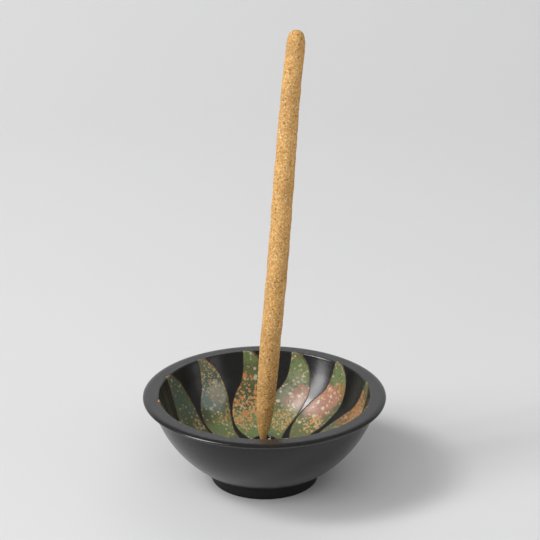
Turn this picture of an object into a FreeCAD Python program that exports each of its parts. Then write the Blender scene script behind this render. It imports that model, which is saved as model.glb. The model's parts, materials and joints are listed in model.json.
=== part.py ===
"""Incense burner: a turned black bowl with petal inlays, a stick socket on its floor and a hand-rolled stick.

The origin is the centre of the foot on the table, +Z is up, the stick leans towards +X and +Y points away from
the viewer. Lengths are millimetres and angles are degrees.
"""

import FreeCAD, Part
import math
import os
import re
import sys

import Sketcher

PARTS_FOLDER = "parts"
ORIGIN_POINT = (-1, 1)
H_AXIS, V_AXIS = -1, -2

# Driving sizes: alias, value, meaning
SIZES = [
    ("rim_diameter", 84.0, "outside of the lip"),
    ("bowl_height", 32.0, "table to the inner edge of the lip"),
    ("lip_width", 5.8, "flat land of the lip, inner edge to outer edge"),
    ("lip_fall", 0.4, "drop of the land towards its outer edge"),
    ("lip_edge_radius", 0.55, "half-round outer edge of the lip"),
    ("lip_cove", 0.6, "height of the cove under the lip"),
    ("brim_radius", 0.8, "rounding between the land and the inside wall"),
    ("wall_top", 2.9, "wall under the lip"),
    ("wall_middle", 3.3, "wall half way down"),
    ("floor_level", 6.4, "inside floor above the table"),
    ("floor_margin", 0.8, "flat floor showing round the socket"),
    ("foot_diameter", 37.4, "outside of the foot ring at the table"),
    ("foot_height", 3.55, "table to the bottom of the wall"),
    ("foot_taper", 0.2, "how much the foot ring draws in at its top"),
    ("foot_ring_width", 3.6, "width of the ring that stands on the table"),
    ("foot_recess", 1.6, "hollow under the floor, inside the foot ring"),
    ("socket_base_diameter", 12.4, "foot of the stick socket"),
    ("socket_top_diameter", 9.5, "outside of the socket's mouth"),
    ("socket_height", 7.0, "floor to the crest of the mouth"),
    ("socket_base_edge", 0.7, "straight edge at the socket's foot"),
    ("socket_waist", 0.5, "how far the socket's side draws in from straight"),
    ("socket_crest_radius", 0.55, "half-round crest of the mouth"),
    ("socket_dish", 1.8, "crest down to where the bore starts"),
    ("bore_in_floor", 2.0, "depth of the bore below the inside floor"),
    ("bore_clearance", 0.2, "space round the stick's nib in the bore"),
    ("petal_count", 12, "petals round the bowl"),
    ("petal_phase", 10.0, "direction of the first petal from +X, where petals are evenly laid"),
    ("petal_01_stray", 2.0, "turn of petal 1 off its even place, as laid by hand"),
    ("petal_02_stray", 3.4, "turn of petal 2 off its even place"),
    ("petal_03_stray", 1.9, "turn of petal 3 off its even place"),
    ("petal_05_stray", -1.5, "turn of petal 5 off its even place"),
    ("petal_06_stray", -2.4, "turn of petal 6 off its even place"),
    ("petal_root_gap", 2.8, "edge of the flat floor to the petal's root"),
    ("petal_tip_reach", 1.3, "how far the petal's tip lies past the inner edge of the lip"),
    ("inlay_thickness", 0.5, "thickness of a petal inlay"),
    ("inlay_bed", 0.05, "bedding under an inlay"),
    ("keyline", 0.3, "line of bare clay round an inlay"),
    ("stick_length", 155.0, "nib to tip"),
    ("stick_diameter", 7.1, "thickest part of the stick"),
    ("stick_top_diameter", 6.2, "stick just under its domed tip"),
    ("stick_dome", 6.0, "length of the domed tip"),
    ("tip_flat_diameter", 0.8, "flat at the very tip"),
    ("nib_diameter", 2.2, "nib where it enters the socket"),
    ("nib_end_diameter", 1.6, "lower end of the nib"),
    ("nib_gap", 0.12, "end of the nib above the bottom of the bore"),
    ("shoulder_length", 21.0, "taper from the nib to the full stick"),
    ("lean_angle", 3.83, "lean of the stick from upright, towards +X"),
]

# Formulas on the driving sizes
RIM = "(rim_diameter / 2)"
BRIM = f"({RIM} - lip_width)"
FOOT = "(foot_diameter / 2)"
FLAT = "(socket_base_diameter / 2 + floor_margin)"
WALL_END = "(bowl_height - brim_radius)"
LAND_EDGE = "(bowl_height - lip_fall)"
BORE_BOTTOM = "(floor_level - bore_in_floor)"
BORE_MOUTH = "(floor_level + socket_height - socket_dish)"
BORE_DEPTH = f"({BORE_MOUTH} - {BORE_BOTTOM})"
BORE = f"(nib_diameter / 2 + bore_clearance + {BORE_DEPTH} / 2 * tan(lean_angle * 1 deg))"
PETAL_ROOT = f"({FLAT} + petal_root_gap)"
PETAL_TIP = f"({BRIM} + petal_tip_reach)"

# The inside wall is one arc, level where it leaves the flat floor, that ends at the brim's rounding
WALL_RUN = f"({BRIM} - {FLAT})"
WALL_RISE = f"({WALL_END} - floor_level)"
WALL_CHORD = f"sqrt({WALL_RUN}^2 + {WALL_RISE}^2)"
WALL_RADIUS = f"({WALL_CHORD}^2 / (2 * {WALL_RISE}))"

# Petal outline: share of the way from root to tip, and turn from the petal's middle as a share of the pitch.
# The left edge has a belly, then a hollow near the tip. The right edge has a waist, then a round shoulder.
PETAL_POINTS = {
    "root": (0.000, -0.160),
    "left_rise": (0.119, 0.225),
    "left_back": (0.281, 0.524),
    "left_belly": (0.564, 0.564),
    "left_turn": (0.801, 0.220),
    "left_hollow": (0.872, 0.115),
    "tip": (1.000, 0.080),
    "right_brow": (0.962, -0.086),
    "right_temple": (0.930, -0.226),
    "right_shoulder": (0.860, -0.366),
    "right_turn": (0.727, -0.398),
    "right_fall": (0.457, -0.233),
    "right_waist": (0.365, -0.170),
    "right_stem": (0.270, -0.145),
}

# Stick outline: shares of the full radius, and of the length of the stretch that each point lies on
SHOULDER_BULGE, SHOULDER_BULGE_AT = 0.57, 0.29
SHOULDER_END = 0.94
DOME_SIDE, DOME_SIDE_AT = 0.89, 0.46
DOME_TURN, DOME_TURN_AT = 0.52, 0.85
DOME_CAP_AT = 0.95

# Half way round a quarter circle, as a share of its radius
SLANT = math.sqrt(0.5)

doc = FreeCAD.newDocument("incense_burner")
sheet = doc.addObject("Spreadsheet::Sheet", "Sizes")
ALIAS = re.compile(r"\b(" + "|".join(alias for alias, _, _ in SIZES) + r")\b")


def fill_sheet():
    """Writes the driving sizes into the sheet, one row each."""
    for row, (alias, value, meaning) in enumerate(SIZES, start=1):
        sheet.set(f"A{row}", meaning)
        sheet.set(f"B{row}", str(value))
        sheet.setAlias(f"B{row}", alias)
    doc.recompute()


def bound(formula):
    """The formula as an expression that reads its sizes from the sheet."""
    return ALIAS.sub(r"Sizes.\1", formula)


def number(formula):
    """The formula's value now."""
    value = sheet.evalExpression(bound(formula))
    return float(getattr(value, "Value", value))


def vector(point):
    """A point of a sketch from its two formulas."""
    return FreeCAD.Vector(number(point[0]), number(point[1]), 0)


def tie(sketch, place, name, point):
    """Ties one point of a sketch to the sheet by its distances from the sketch's origin."""
    for axis, formula, axis_line in (("X", point[0], V_AXIS), ("Y", point[1], H_AXIS)):
        value = number(formula)
        if formula == "0":
            sketch.addConstraint(Sketcher.Constraint("PointOnObject", *place, axis_line))
            continue
        ends = (*ORIGIN_POINT, *place) if value >= 0 else (*place, *ORIGIN_POINT)
        label = f"{name}_{axis.lower()}"
        index = sketch.addConstraint(Sketcher.Constraint("Distance" + axis, *ends, abs(value)))
        sketch.renameConstraint(index, label)
        sketch.setExpression(f"Constraints.{label}", bound(formula if value >= 0 else f"-({formula})"))


def draw(sketch, points, runs):
    """Draws and ties a closed chain of lines, of two point names each, and arcs, of three."""
    ends = []
    for run in runs:
        first, last = vector(points[run[0]]), vector(points[run[-1]])
        if len(run) == 2:
            line = sketch.addGeometry(Part.LineSegment(first, last))
            ends.append(((line, 1), (line, 2)))
            continue
        arc = sketch.addGeometry(Part.Arc(first, vector(points[run[1]]), last))
        start_gap, end_gap = (sketch.getPoint(arc, end).distanceToPoint(first) for end in (1, 2))
        ends.append(((arc, 1), (arc, 2)) if start_gap < end_gap else ((arc, 2), (arc, 1)))
        middle = sketch.addGeometry(Part.Point(vector(points[run[1]])), True)
        tie(sketch, (middle, 1), run[1], points[run[1]])
        sketch.addConstraint(Sketcher.Constraint("PointOnObject", middle, 1, arc))
    for index, run in enumerate(runs):
        sketch.addConstraint(Sketcher.Constraint("Coincident", *ends[index - 1][1], *ends[index][0]))
        tie(sketch, ends[index][0], run[0], points[run[0]])


def turned(name, points, runs):
    """A body of revolution about Z from a half profile in the XZ plane."""
    body = doc.addObject("PartDesign::Body", name)
    plane = next(item for item in body.Origin.OriginFeatures if item.Role == "XZ_Plane")
    sketch = body.newObject("Sketcher::SketchObject", f"{name}_profile")
    sketch.AttachmentSupport = (plane, [""])
    sketch.MapMode = "FlatFace"
    draw(sketch, points, runs)
    doc.recompute()
    turn = body.newObject("PartDesign::Revolution", f"{name}_turn")
    turn.Profile = sketch
    turn.ReferenceAxis = (sketch, ["V_Axis"])
    turn.Angle = 360
    sketch.Visibility = False
    doc.recompute()
    return body


def chain(*names):
    """The runs of a closed chain of points, where a pair of names is the middle and the end of an arc."""
    runs, here = [], names[0]
    for item in (*names[1:], names[0]):
        run = (here, *item) if isinstance(item, tuple) else (here, item)
        runs.append(run)
        here = run[-1]
    return runs


def wall_point(depth, along):
    """The middle or the end of the inside wall's arc, moved into the clay by a depth."""
    radius = f"({WALL_RADIUS} + {depth})"
    side, drop = {
        "middle": (f"{WALL_RISE} / {WALL_CHORD}", f"{WALL_RUN} / {WALL_CHORD}"),
        "end": (f"{WALL_RUN} / {WALL_RADIUS}", f"(1 - {WALL_RISE} / {WALL_RADIUS})"),
    }[along]
    return (f"{FLAT} + {radius} * {side}", f"floor_level + {WALL_RADIUS} - {radius} * {drop}")


def brim_points(depth):
    """Middle and end of the rounding between wall and land, moved into the clay by a depth."""
    radius = f"(brim_radius - {depth})"
    middle = (f"{BRIM} + brim_radius - {radius} * {SLANT}", f"{WALL_END} + {radius} * {SLANT}")
    return middle, (f"{BRIM} + brim_radius", f"bowl_height - {depth}")


def make_bowl_blank():
    """The turned bowl before its petal recesses are cut."""
    brim_middle, brim_end = brim_points("0")
    lip_under = f"({LAND_EDGE} - 2 * lip_edge_radius)"
    wall_head = f"({BRIM} + wall_top)"
    cove_turn = f"lip_cove * {1 - SLANT}"
    points = {
        "recess_centre": ("0", "foot_recess"),
        "recess_edge": (f"{FOOT} - foot_ring_width", "foot_recess"),
        "ring_inside": (f"{FOOT} - foot_ring_width", "0"),
        "ring_outside": (FOOT, "0"),
        "wall_foot": (f"{FOOT} - foot_taper", "foot_height"),
        "wall_belly": wall_point("wall_middle", "middle"),
        "wall_head": (wall_head, f"{lip_under} - lip_cove"),
        "cove_middle": (f"{wall_head} + {cove_turn}", f"{lip_under} - {cove_turn}"),
        "cove_end": (f"{wall_head} + lip_cove", lip_under),
        "lip_low": (f"{RIM} - lip_edge_radius", lip_under),
        "lip_outer": (RIM, f"{LAND_EDGE} - lip_edge_radius"),
        "lip_high": (f"{RIM} - lip_edge_radius", LAND_EDGE),
        "brim_end": brim_end,
        "brim_middle": brim_middle,
        "wall_end": wall_point("0", "end"),
        "wall_middle_in": wall_point("0", "middle"),
        "floor_edge": (FLAT, "floor_level"),
        "bore_mouth": (BORE, "floor_level"),
        "bore_corner": (BORE, BORE_BOTTOM),
        "bore_centre": ("0", BORE_BOTTOM),
    }
    runs = chain(
        "recess_centre", "recess_edge", "ring_inside", "ring_outside", "wall_foot",
        ("wall_belly", "wall_head"), ("cove_middle", "cove_end"),
        "lip_low", ("lip_outer", "lip_high"),
        "brim_end", ("brim_middle", "wall_end"), ("wall_middle_in", "floor_edge"),
        "bore_mouth", "bore_corner", "bore_centre",
    )
    return turned("bowl_blank", points, runs)


def make_skin(name, depth):
    """A skin of the bowl's inside, down to a depth in the clay, from the floor's edge to mid lip."""
    brim_middle, brim_end = brim_points("0")
    back_brim_middle, back_brim_end = brim_points(depth)
    half_land = f"({BRIM} + lip_width / 2)"
    land_share = "((lip_width / 2 - brim_radius) / (lip_width - brim_radius - lip_edge_radius))"
    half_land_level = f"(bowl_height - lip_fall * {land_share})"
    points = {
        "floor_face": (FLAT, "floor_level"),
        "wall_face": wall_point("0", "middle"),
        "wall_face_end": wall_point("0", "end"),
        "brim_face": brim_middle,
        "brim_face_end": brim_end,
        "land_face": (half_land, half_land_level),
        "land_back": (half_land, f"{half_land_level} - {depth}"),
        "brim_back_end": back_brim_end,
        "brim_back": back_brim_middle,
        "wall_back_end": wall_point(depth, "end"),
        "wall_back": wall_point(depth, "middle"),
        "floor_back": (FLAT, f"floor_level - {depth}"),
    }
    runs = chain(
        "floor_face", ("wall_face", "wall_face_end"), ("brim_face", "brim_face_end"), "land_face",
        "land_back", "brim_back_end", ("brim_back", "wall_back_end"), ("wall_back", "floor_back"),
    )
    return turned(name, points, runs)


def make_petal_outline():
    """The outline of one petal seen from above, along +X."""
    sketch = doc.addObject("Sketcher::SketchObject", "petal_outline")
    points = {}
    for name, (share, turn) in PETAL_POINTS.items():
        radius = f"({PETAL_ROOT} + ({PETAL_TIP} - {PETAL_ROOT}) * {share})"
        angle = f"({turn} * 360 / petal_count * 1 deg)"
        points[name] = (f"{radius} * cos({angle})", f"{radius} * sin({angle})")
    runs = chain(
        "root", ("left_rise", "left_back"), ("left_belly", "left_turn"), ("left_hollow", "tip"),
        ("right_brow", "right_temple"), ("right_shoulder", "right_turn"),
        "right_fall", ("right_waist", "right_stem"),
    )
    draw(sketch, points, runs)
    doc.recompute()
    return sketch


def make_prism(name, outline):
    """An upright prism of an outline, taller than the bowl."""
    prism = doc.addObject("Part::Extrusion", name)
    prism.Base = outline
    prism.DirMode = "Custom"
    prism.Dir = FreeCAD.Vector(0, 0, 1)
    prism.Solid = True
    prism.setExpression("LengthFwd", bound("bowl_height + lip_width"))
    return prism


def petal_turn(index):
    """The direction of a petal: its even place and, where the sheet has one, its stray from there."""
    even = f"petal_phase + {index} * 360 / petal_count"
    stray = f"petal_{index + 1:02d}_stray"
    return f"{even} + {stray}" if ALIAS.fullmatch(stray) else even


def petal_ring(name, prism, skin):
    """One piece of the skin inside the prism for every petal, turned about Z to its place."""
    pieces = []
    for index in range(round(number("petal_count"))):
        piece = doc.addObject("Part::Common", f"{name}_{index + 1:02d}")
        piece.Base = prism
        piece.Tool = skin
        piece.Placement = FreeCAD.Placement(FreeCAD.Vector(), FreeCAD.Rotation(FreeCAD.Vector(0, 0, 1), 1))
        piece.setExpression("Placement.Rotation.Angle", bound(petal_turn(index)))
        pieces.append(piece)
    doc.recompute()
    return pieces


def make_petals_and_bowl():
    """The petal inlays, and the bowl with a recess for each of them that leaves a keyline round it."""
    outline = make_petal_outline()
    inlay_skin = make_skin("inlay_skin", "inlay_thickness")
    inlays = petal_ring("petal_inlay", make_prism("petal_prism", outline), inlay_skin)
    wider = doc.addObject("Part::Offset2D", "recess_outline")
    wider.Source = outline
    wider.Join = "Arc"
    wider.setExpression("Value", bound("keyline"))
    doc.recompute()
    recess_skin = make_skin("recess_skin", "(inlay_thickness + inlay_bed)")
    recesses = doc.addObject("Part::Compound", "petal_recesses")
    recesses.Links = petal_ring("petal_recess", make_prism("recess_prism", wider), recess_skin)
    bowl = doc.addObject("Part::Cut", "bowl")
    bowl.Base = make_bowl_blank()
    bowl.Tool = recesses
    doc.recompute()
    return bowl, inlays


def make_socket():
    """The stick socket: a waisted stub with a dished mouth and a bore through it."""
    base, top = "(socket_base_diameter / 2)", "(socket_top_diameter / 2)"
    crest = "(floor_level + socket_height - socket_crest_radius)"
    mouth = f"({top} - 2 * socket_crest_radius)"
    edge = "(floor_level + socket_base_edge)"
    points = {
        "bore_foot": (BORE, "floor_level"),
        "base_outside": (base, "floor_level"),
        "base_edge": (base, edge),
        "waist": (f"({base} + {top}) / 2 - socket_waist", f"({edge} + {crest}) / 2"),
        "crest_outside": (top, crest),
        "crest_top": (f"{top} - socket_crest_radius", "floor_level + socket_height"),
        "crest_inside": (mouth, crest),
        "dish": (f"({mouth} + {BORE}) / 2", f"({crest} + 3 * {BORE_MOUTH}) / 4"),
        "bore_mouth": (BORE, BORE_MOUTH),
    }
    runs = chain(
        "bore_foot", "base_outside", "base_edge", ("waist", "crest_outside"), ("crest_top", "crest_inside"),
        ("dish", "bore_mouth"),
    )
    return turned("stick_socket", points, runs)


def make_stick():
    """The hand-rolled stick: a nib, a tapered shoulder, a slightly swelling length and a domed tip."""
    nib_top = f"({BORE_DEPTH} + socket_dish)"
    full = f"({nib_top} + shoulder_length)"
    dome = "(stick_length - stick_dome)"
    nib, stick_radius, top = "(nib_diameter / 2)", "(stick_diameter / 2)", "(stick_top_diameter / 2)"
    shoulder_radius = f"({SHOULDER_END} * {stick_radius})"
    bulge = f"({nib} + {SHOULDER_BULGE} * ({shoulder_radius} - {nib}))"
    tip_flat = "(tip_flat_diameter / 2)"
    points = {
        "end_centre": ("0", "0"),
        "end_edge": ("nib_end_diameter / 2", "0"),
        "nib_head": (nib, nib_top),
        "shoulder": (bulge, f"{nib_top} + {SHOULDER_BULGE_AT} * shoulder_length"),
        "shoulder_end": (shoulder_radius, full),
        "swell": (stick_radius, f"({full} + {dome}) / 2"),
        "dome_start": (top, dome),
        "dome_side": (f"{DOME_SIDE} * {top}", f"{dome} + {DOME_SIDE_AT} * stick_dome"),
        "dome_turn": (f"{DOME_TURN} * {top}", f"{dome} + {DOME_TURN_AT} * stick_dome"),
        "dome_cap": (f"({DOME_TURN} * {top} + {tip_flat}) / 2", f"{dome} + {DOME_CAP_AT} * stick_dome"),
        "tip_edge": (tip_flat, "stick_length"),
        "tip_centre": ("0", "stick_length"),
    }
    runs = chain(
        "end_centre", "end_edge", "nib_head", ("shoulder", "shoulder_end"), ("swell", "dome_start"),
        ("dome_side", "dome_turn"), ("dome_cap", "tip_edge"), "tip_centre",
    )
    stick = turned("incense_stick", points, runs)
    end_level = f"({BORE_BOTTOM} + nib_gap)"
    middle_level = f"({BORE_BOTTOM} + {BORE_DEPTH} / 2)"
    stick.Placement = FreeCAD.Placement(FreeCAD.Vector(), FreeCAD.Rotation(FreeCAD.Vector(0, 1, 0), 1))
    stick.setExpression("Placement.Rotation.Angle", bound("lean_angle"))
    end_offset = f"({end_level} - {middle_level}) * tan(lean_angle * 1 deg)"
    stick.setExpression("Placement.Base.x", bound(end_offset))
    stick.setExpression("Placement.Base.z", bound(end_level))
    doc.recompute()
    return stick


def check(pieces):
    """Stops the build if any object failed or any sub-part has no sound shape."""
    faults = [item.Name for item in doc.Objects if {"Invalid", "Error"} & set(item.State)]
    faults += [item.Name for item in pieces if item.Shape.isNull() or not item.Shape.isValid()]
    if faults:
        sys.exit(f"failed objects: {faults}")


def main():
    fill_sheet()
    bowl, inlays = make_petals_and_bowl()
    pieces = [bowl, *inlays, make_socket(), make_stick()]
    doc.recompute()
    check(pieces)
    os.makedirs(PARTS_FOLDER, exist_ok=True)
    for piece in pieces:
        piece.Shape.exportStep(os.path.join(PARTS_FOLDER, f"{piece.Label}.step"))
        print(f"{piece.Label}: {len(piece.Shape.Solids)} solid, {piece.Shape.Volume:.1f} mm3")


main()
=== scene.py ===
"""Looks of an incense burner: a black clay bowl with inlaid petals, its stick socket and a hand-rolled stick.

Lengths are metres. The origin is the centre of the foot on the table, +Z is up, +Y points away from the
viewer and the stick leans towards +X.
"""

import cmath
import json
import math

import bmesh
import bpy
import numpy as np
from mathutils import Matrix, Vector, noise


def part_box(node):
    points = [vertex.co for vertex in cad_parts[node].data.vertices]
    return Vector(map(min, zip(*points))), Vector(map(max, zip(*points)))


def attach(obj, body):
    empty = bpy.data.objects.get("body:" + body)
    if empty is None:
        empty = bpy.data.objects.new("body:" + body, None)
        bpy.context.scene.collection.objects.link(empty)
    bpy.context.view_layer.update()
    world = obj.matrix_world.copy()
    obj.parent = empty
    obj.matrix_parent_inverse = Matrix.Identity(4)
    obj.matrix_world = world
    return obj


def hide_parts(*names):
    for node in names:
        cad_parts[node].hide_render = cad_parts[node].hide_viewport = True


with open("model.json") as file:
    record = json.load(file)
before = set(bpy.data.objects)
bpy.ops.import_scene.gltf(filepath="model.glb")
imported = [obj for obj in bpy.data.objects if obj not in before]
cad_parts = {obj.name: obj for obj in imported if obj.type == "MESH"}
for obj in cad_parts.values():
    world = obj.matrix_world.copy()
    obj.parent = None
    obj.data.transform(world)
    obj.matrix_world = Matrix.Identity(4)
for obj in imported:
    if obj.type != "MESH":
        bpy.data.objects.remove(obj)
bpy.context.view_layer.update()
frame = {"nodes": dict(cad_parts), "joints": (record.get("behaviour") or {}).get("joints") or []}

bl_info = {
    "name": "Incense Burner",
    "version": (1, 0, 0),
    "blender": (4, 5, 0),
    "location": "3D View > Sidebar > Burner",
    "description": "Builds an inlaid black bowl, its stick socket and a rolled incense stick on a floor",
    "category": "Object",
}

MM = 0.001
WELD_GAP = 1e-7
SHARP_ANGLE = math.radians(34)
FAN_STEP = math.radians(6)

# Rows and columns of the bowl's mesh
FLOOR_ROWS, LOW_WALL_ROWS, LAND_ROWS, BED_COLUMNS = 6, 9, 8, 9
LIP_ROWS, COVE_ROWS, WALL_ROWS = 20, 10, 48

# Recess of a petal: slope beside the line, width at which the line is fully deep, and slack round the bed
LINE_SLOPE, LINE_FULL_WIDTH, BED_SLACK = 0.05 * MM, 0.2 * MM, 0.02 * MM
# Petal: width at which it has its full crown, and how flat the crown is
CROWN_FULL_WIDTH, CROWN_FLATNESS = 2.5 * MM, 8
# Stick: smooth nib, length over which the grain starts, and radius under which it fades
NIB_LENGTH, GRAIN_RUN, GRAIN_FADE = 9.5 * MM, 6 * MM, 1.5 * MM
# Sway of the stick's middle line, the scale of its noise, and the seed that keeps it the same in every run
SWAY, SWAY_SCALE, SWAY_SEED = 0.12 * MM, 60, 1
# Tip of the stick: powers that shape its dome, along it and across it
DOME_ALONG, DOME_ACROSS = 2.6, 0.42
# Layers of noise on the stick: scale round it, scale along it and weight
STICK_LUMPS = ((190, 190, 1.0), (420, 420, 0.6))
STICK_GRAIN = ((900, 620, 0.6), (1900, 1300, 0.5))

# Studio floor: half its width, and its section as distance away, level and rounding
STUDIO_SIDE = 2.5
STUDIO_SECTION = [(-2.0, 0.0, 0.0), (1.35, 0.0, 0.9), (1.35, 1.2, 0.0)]

# Soft lights: the setting of the power, place, point that it faces, width and height, and whether glossy
# surfaces mirror it
AIM = (0.0, 0.0, 0.05)
LIGHTS = {
    "key_softbox": ("key", (-1.51, -0.60, 1.20), AIM, (0.5, 2.1), True),
    "high_softbox": ("high", (-1.33, -0.28, 1.55), AIM, (0.45, 0.45), True),
    "fill_card": ("fill", (1.0, -0.38, 0.36), AIM, (0.7, 0.6), True),
    "front_light": ("front", (-0.1, -1.3, 1.3), AIM, (1.6, 0.9), False),
    "back_light": ("back", (0.25, 1.0, 1.5), (0.1, 0.4, 0.0), (1.6, 1.0), False),
}

BOWL_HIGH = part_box("bowl")[1]
SOCKET_LOW, SOCKET_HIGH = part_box("stick_socket")
PETAL_NODES = sorted(name for name in frame["nodes"] if name.startswith("petal_inlay"))
PITCH = math.tau / len(PETAL_NODES)
LIFT = next(joint for joint in frame["joints"] if joint["name"] == "stick_lift")
LEAN = math.atan2(LIFT["axis"][0], LIFT["axis"][2])

# Petal outline: share of the way from root to tip, and turn from the petal's middle as a share of the pitch.
# The left edge has a belly, then a hollow near the tip. The right edge has a waist, then a round shoulder.
PETAL_POINTS = {
    "root": (0.000, -0.160),
    "left_rise": (0.119, 0.225),
    "left_back": (0.281, 0.524),
    "left_belly": (0.564, 0.564),
    "left_turn": (0.801, 0.220),
    "left_hollow": (0.872, 0.115),
    "tip": (1.000, 0.080),
    "right_brow": (0.962, -0.086),
    "right_temple": (0.930, -0.226),
    "right_shoulder": (0.860, -0.366),
    "right_turn": (0.727, -0.398),
    "right_fall": (0.457, -0.233),
    "right_waist": (0.365, -0.170),
    "right_stem": (0.270, -0.145),
}
PETAL_ROUTE = (
    "root", ("left_rise", "left_back"), ("left_belly", "left_turn"), ("left_hollow", "tip"),
    ("right_brow", "right_temple"), ("right_shoulder", "right_turn"),
    "right_fall", ("right_waist", "right_stem"),
)

# Turns of the hand-laid petals off their even places, in degrees
PETAL_STRAYS = (2.0, 3.4, 1.9, 0.0, -1.5, -2.4, 0.0, 0.0, 0.0, 0.0, 0.0, 0.0)

# Stick outline: length from the nib's end and diameter, in millimetres
STICK_POINTS = (
    (0.0, 1.55), (9.2, 2.08), (10.2, 2.35), (12.0, 3.55), (15.0, 4.72), (18.7, 5.65), (22.5, 6.2),
    (30.0, 6.68), (38.0, 6.98), (56.0, 7.0), (80.0, 7.08), (105.0, 6.8), (128.0, 6.48), (149.0, 6.2),
)

# Bow of the stick: length from the nib's end and how far it lies from a straight line, in millimetres
STICK_BOW = (
    (0.0, 0.0), (7.1, -0.55), (9.5, -1.0), (16.0, -1.0), (45.0, -0.7), (89.0, -0.22), (130.0, -0.22),
    (150.0, 0.32), (155.0, 0.4),
)

# Clouds of slip on the petals: petal, share of the way from root to tip, turn as a share of the pitch,
# reach in millimetres, colour and strength
SLIP_CLOUDS = (
    (6, 0.89, -0.06, 8.0, "teal", 0.9), (6, 0.74, -0.06, 7.0, "teal", 0.8), (6, 0.60, 0.00, 7.0, "moss", 0.8),
    (6, 1.00, 0.06, 2.0, "pink", 0.4),
    (5, 0.94, -0.04, 5.0, "olive", 0.7), (5, 0.84, -0.05, 7.0, "teal", 0.9),
    (5, 0.73, 0.06, 6.5, "mist", 0.9), (5, 0.78, -0.20, 5.0, "ash", 0.9), (5, 0.64, 0.40, 4.0, "moss", 0.9),
    (5, 0.55, 0.05, 5.0, "olive", 0.9), (5, 0.42, 0.15, 7.0, "green", 0.9),
    (4, 0.95, -0.04, 5.0, "green", 0.9), (4, 0.86, -0.06, 4.0, "olive", 0.6),
    (4, 0.70, 0.08, 7.0, "moss", 0.8), (4, 0.40, 0.22, 9.0, "green", 1.0),
    (3, 0.97, 0.00, 3.5, "olive", 0.9), (3, 0.90, -0.12, 6.0, "green", 0.9),
    (3, 0.86, -0.10, 4.0, "ash", 0.35), (3, 0.73, 0.00, 5.5, "ash", 0.5), (3, 0.76, -0.28, 4.5, "pink", 0.8),
    (3, 0.66, -0.10, 5.0, "pink", 0.7), (3, 0.43, 0.05, 9.0, "green", 0.9),
    (2, 0.96, 0.00, 4.0, "olive", 0.9), (2, 0.91, -0.12, 5.0, "green", 0.7),
    (2, 0.86, -0.28, 4.5, "rust", 0.6), (2, 0.76, 0.14, 8.0, "pink", 0.9), (2, 0.80, -0.08, 5.0, "pink", 0.8),
    (2, 0.63, 0.18, 6.0, "pink", 0.8), (2, 0.40, 0.13, 8.0, "olive", 0.9),
    (1, 0.96, 0.00, 3.5, "olive", 0.8), (1, 0.86, 0.04, 8.0, "rust", 0.9), (1, 0.70, 0.10, 7.0, "rust", 0.6),
    (1, 0.45, 0.15, 8.0, "olive", 0.8),
    (12, 0.85, 0.00, 8.0, "olive", 0.8), (12, 0.55, 0.10, 7.0, "green", 0.7),
    (11, 0.80, 0.00, 8.0, "green", 0.8), (11, 0.55, 0.15, 6.0, "teal", 0.8),
    (10, 0.85, 0.00, 7.0, "teal", 0.8), (10, 0.65, 0.10, 5.0, "mist", 0.8),
    (10, 0.40, 0.10, 7.0, "green", 0.8),
    (9, 0.85, -0.05, 6.0, "green", 0.8), (9, 0.70, 0.05, 6.0, "pink", 0.8), (9, 0.40, 0.10, 7.0, "moss", 0.8),
    (8, 0.85, 0.00, 7.0, "olive", 0.8), (8, 0.60, 0.10, 7.0, "rust", 0.6), (8, 0.40, 0.10, 6.0, "green", 0.8),
    (7, 0.90, 0.00, 7.0, "olive", 0.8), (7, 0.65, 0.10, 7.0, "teal", 0.7),
)

# Kinds of drops in the slip: cells in a metre, largest radius as a share of a cell, share of the cells that
# hold a drop away from the drifts and inside them, unevenness of the edge and strength
SLIP_DROPS = {
    "moss": (1150.0, 0.60, 0.35, 0.35, 0.7, 0.40),
    "mist": (2100.0, 0.55, 0.35, 0.35, 0.6, 0.35),
    "gold": (1250.0, 0.76, 0.14, 1.10, 0.5, 0.85),
    "cream": (620.0, 0.60, 0.08, 0.80, 0.5, 0.85),
    "amber": (950.0, 0.72, 0.02, 1.10, 0.4, 0.92),
    "orange": (430.0, 0.64, 0.01, 1.30, 0.3, 0.95),
}

# Drifts where drops gather: petal, share of the way from root to tip, turn and reach in millimetres
SLIP_DRIFTS = {
    "gold": (
        (5, 0.88, -0.16, 7.0), (6, 0.60, -0.12, 3.0), (4, 0.56, 0.20, 8.0), (1, 0.80, 0.05, 9.0),
        (2, 0.52, 0.10, 5.0), (3, 0.45, 0.05, 5.0), (11, 0.70, 0.00, 8.0), (8, 0.75, 0.00, 7.0),
    ),
    "cream": (
        (5, 0.78, -0.05, 6.0), (4, 0.87, -0.06, 4.0), (3, 0.72, 0.08, 7.0), (3, 0.89, -0.10, 5.0),
        (2, 0.78, 0.00, 6.0), (5, 0.62, 0.14, 4.0), (10, 0.70, 0.05, 7.0),
    ),
    "amber": (
        (4, 0.68, 0.08, 9.0), (4, 0.52, 0.30, 7.0), (6, 0.60, -0.16, 3.0), (5, 0.52, -0.14, 3.5),
        (3, 0.48, 0.10, 6.0), (2, 0.50, 0.00, 5.0), (2, 0.86, -0.10, 4.0), (1, 0.82, 0.05, 10.0),
        (12, 0.60, 0.10, 8.0), (8, 0.70, 0.05, 6.0),
    ),
    "orange": (
        (4, 0.76, 0.00, 6.0), (4, 0.64, 0.10, 8.0), (4, 0.55, 0.38, 6.0), (3, 0.50, 0.05, 4.0),
        (1, 0.80, 0.05, 5.0), (9, 0.55, 0.10, 6.0),
    ),
}


def length(name, description, default):
    """A size, shown in the scene's units."""
    return bpy.props.FloatProperty(
        name=name, description=description, default=default, min=0.0, precision=5, unit="LENGTH"
    )


def angle(name, description, default):
    """A turn, shown in degrees."""
    return bpy.props.FloatProperty(name=name, description=description, default=default, subtype="ANGLE")


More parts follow.
